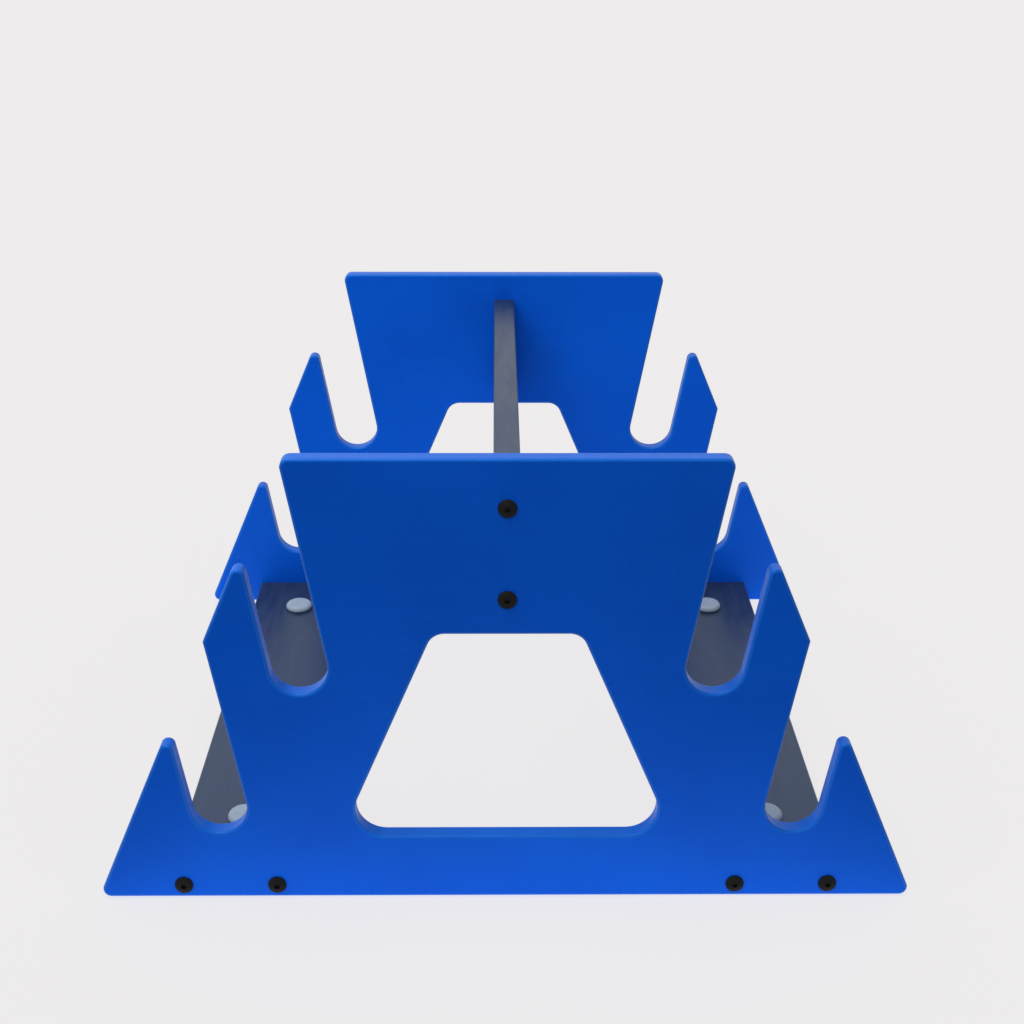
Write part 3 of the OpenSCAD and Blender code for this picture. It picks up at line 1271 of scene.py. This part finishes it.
@dataclass
class Studio:
    """Pale sweep, soft lamps and the camera, in metres and degrees."""

    backdrop: str = "#eeecec"
    floor_radius: float = 1.1
    floor_rings: int = 4
    floor_sides: int = 96
    floor_glow_share: float = 0.85
    # the floor paints a pool of light round the rack and shade farther off, for the rays that light
    # the rack
    pool_reach: tuple[float, float, float] = (0.36, 0.33, 1.0)
    pool_fade: float = 1.5
    pool_strength: float = 1.0
    far_paper_painted_shade: float = 0.35
    ambient: float = 0.38
    sun_strength: float = 0.6
    sun_spread: float = 60.0
    sun_direction: tuple[float, float, float] = (0.25, 0.3, -1.0)
    softbox_size: float = 1.25
    softbox_place: tuple[float, float, float] = (-0.58, -0.32, 1.5)
    softbox_aim: tuple[float, float, float] = (0.0, 0.23, 0.2)
    softbox_power: float = 16.4
    focal_pixels: float = 1554.35
    sensor: float = 36.0
    shift_pixels: float = -154.0
    camera_place: tuple[float, float, float] = (-0.00831, -1.1949, 0.7231)
    pitch: float = 18.022
    yaw: float = 0.649
    roll: float = -0.246

    @property
    def floor_light(self) -> float:
        """Light on the open floor, as the share of its colour that it renders at."""
        steepness = 1 / Vector(self.sun_direction).length
        return self.ambient + self.sun_strength * steepness / math.pi

    def camera(self) -> None:
        """Places the photograph's camera."""
        data = bpy.data.cameras.new("camera")
        data.sensor_width = self.sensor
        data.lens = self.focal_pixels * self.sensor / FRAME_PIXELS
        data.shift_y = self.shift_pixels / FRAME_PIXELS
        camera = put_in_scene("camera", data)
        aim = Euler((math.radians(90 - self.pitch), 0.0, math.radians(-self.yaw))).to_matrix()
        turn = aim @ Matrix.Rotation(math.radians(-self.roll), 3, "Z")
        camera.matrix_world = Matrix.Translation(self.camera_place) @ turn.to_4x4()
        bpy.context.scene.camera = camera

    def seen_or_unseen(self, tree: NodeTree, seen: Node, unseen: Node) -> Node:
        """Adds a shader that camera, glossy and transmission rays see, and another for the rest.

        Args:
            tree: Tree of the floor or the world.
            seen: Shader that those rays see.
            unseen: Shader that lights the rack.

        Returns:
            The mixed shader.
        """
        path = add(tree, "ShaderNodeLightPath").outputs
        share = path["Is Camera Ray"]
        for ray in ("Is Glossy Ray", "Is Transmission Ray"):
            share = add(tree, MATH, {0: share, 1: path[ray]}, operation="MAXIMUM")
        return add(tree, "ShaderNodeMixShader", {0: share, 1: unseen, 2: seen})

    def world(self) -> None:
        """Lights the room evenly, and shows the backdrop's colour behind the rack."""
        world = bpy.data.worlds.new("studio")
        bpy.context.scene.world = world
        tree = empty_nodes(world)
        light = {"Color": (1.0, 1.0, 1.0, 1.0), "Strength": self.ambient}
        room = add(tree, "ShaderNodeBackground", light)
        colour = {"Color": linear(self.backdrop), "Strength": 1.0}
        backdrop = add(tree, "ShaderNodeBackground", colour)
        chosen = self.seen_or_unseen(tree, backdrop, room)
        add(tree, "ShaderNodeOutputWorld", {"Surface": chosen})

    def paper(self) -> Material:
        """Builds the floor's material.

        Returns:
            White paper that keeps a faint shadow and elsewhere shows the backdrop's colour.
        """
        material = bpy.data.materials.new("white_paper_sweep")
        tree = empty_nodes(material)
        # what is seen: the backdrop's colour, with a share of the lit paper for the shadow
        lit_colour = (*(c / self.floor_light for c in linear(self.backdrop)[:3]), 1.0)
        lit = add(tree, "ShaderNodeBsdfDiffuse", {"Color": lit_colour})
        even = {"Color": linear(self.backdrop), "Strength": 1.0}
        glow = add(tree, "ShaderNodeEmission", even)
        seen = add(tree, "ShaderNodeMixShader", {0: self.floor_glow_share, 1: lit, 2: glow})
        # what lights the rack from below is painted into the floor: a painted pool of light round
        # its foot, where the paper glows, and painted shade farther off, where the paper's colour
        # is darkened
        place = add(tree, "ShaderNodeTexCoord").outputs["Object"]
        scale = tuple(1 / r for r in self.pool_reach)
        reach = add(tree, "ShaderNodeMapping", {"Vector": place, "Scale": scale})
        distance = add(tree, "ShaderNodeVectorMath", {0: reach}, operation="LENGTH")
        fade = {"From Min": 1.0, "From Max": self.pool_fade, "To Min": 1.0, "To Max": 0.0}
        fade["Value"] = distance.outputs["Value"]
        pool = add(tree, "ShaderNodeMapRange", fade, interpolation_type="SMOOTHSTEP")
        # painted shade: the paper's colour darkens with distance from the rack, standing in for
        # light falling off
        dim = {"Value": pool, "To Min": self.far_paper_painted_shade, "To Max": 1.0}
        tone = add(tree, "ShaderNodeMapRange", dim)
        bounce = add(tree, "ShaderNodeBsdfDiffuse", {"Color": tone})
        # painted light: the paper round the rack's foot glows, though it is no lamp
        strength = add(tree, MATH, {0: pool, 1: self.pool_strength}, operation="MULTIPLY")
        light = add(tree, "ShaderNodeEmission", {"Strength": strength})
        unseen = add(tree, "ShaderNodeAddShader", {0: bounce, 1: light})
        surface = self.seen_or_unseen(tree, seen, unseen)
        add(tree, "ShaderNodeOutputMaterial", {"Surface": surface})
        return material

    def floor(self) -> Object:
        """Lays a round sheet of pale paper under the rack.

        Returns:
            The floor.
        """
        bm = bmesh.new()
        sides, rims = self.floor_sides, self.floor_rings
        turns = [2 * math.pi * i / sides for i in range(sides)]
        rings = [
            [bm.verts.new((r * math.cos(a), r * math.sin(a), 0.0)) for a in turns]
            for r in (self.floor_radius * k / rims for k in range(1, rims + 1))
        ]
        bm.faces.new(rings[0])
        for inner, outer in zip(rings, rings[1:]):
            for i in range(sides):
                j = (i + 1) % sides
                bm.faces.new((inner[i], outer[i], outer[j], inner[j]))
        floor = meshed("paper_floor", bm)
        floor.data.materials.append(self.paper())
        return floor

    def lamps(self, floor: Object) -> None:
        """Hangs the lamps.

        Args:
            floor: The floor, which only the broad overhead light reaches, so that it stays even.
        """
        broad = bpy.data.lights.new("broad_overhead_light", "SUN")
        broad.energy = self.sun_strength
        broad.angle = math.radians(self.sun_spread)
        sun = put_in_scene("broad_overhead_light", broad)
        sun.rotation_euler = Vector(self.sun_direction).to_track_quat("-Z", "Y").to_euler()
        near = bpy.data.lights.new("overhead_softbox", "AREA")
        near.energy = self.softbox_power
        near.size = self.softbox_size
        softbox = put_in_scene("overhead_softbox", near)
        softbox.location = self.softbox_place
        aim = Vector(self.softbox_aim) - Vector(self.softbox_place)
        softbox.rotation_euler = aim.to_track_quat("-Z", "Y").to_euler()
        lit = bpy.data.collections.new("softbox_receivers")
        lit.objects.link(floor)
        lit.collection_objects[0].light_linking.link_state = "EXCLUDE"
        softbox.light_linking.receiver_collection = lit

    def build(self) -> None:
        """Sets up the camera, the floor, the world and the lamps."""
        bpy.context.scene.view_settings.view_transform = "Standard"
        self.camera()
        self.world()
        self.lamps(self.floor())


def main() -> None:
    """Builds the studio and the rack, piece by piece."""
    logging.basicConfig(level=logging.INFO, format="%(name)s: %(message)s")
    Studio().build()
    boards = Boards()
    screws = Screws(boards)
    face, edge = PressedPolyethylene().material(), RoutedPolyethylene().material()
    for end in End:
        SlottedPanel(end, screw_places=list(screws.places().values())).make(face, edge)
    boards.make(PlasticLumber().material())
    screws.make(CoatedSteel().material())
    Feet(boards).make(MouldedRubber().material())


if __name__ == "__main__":
    main()
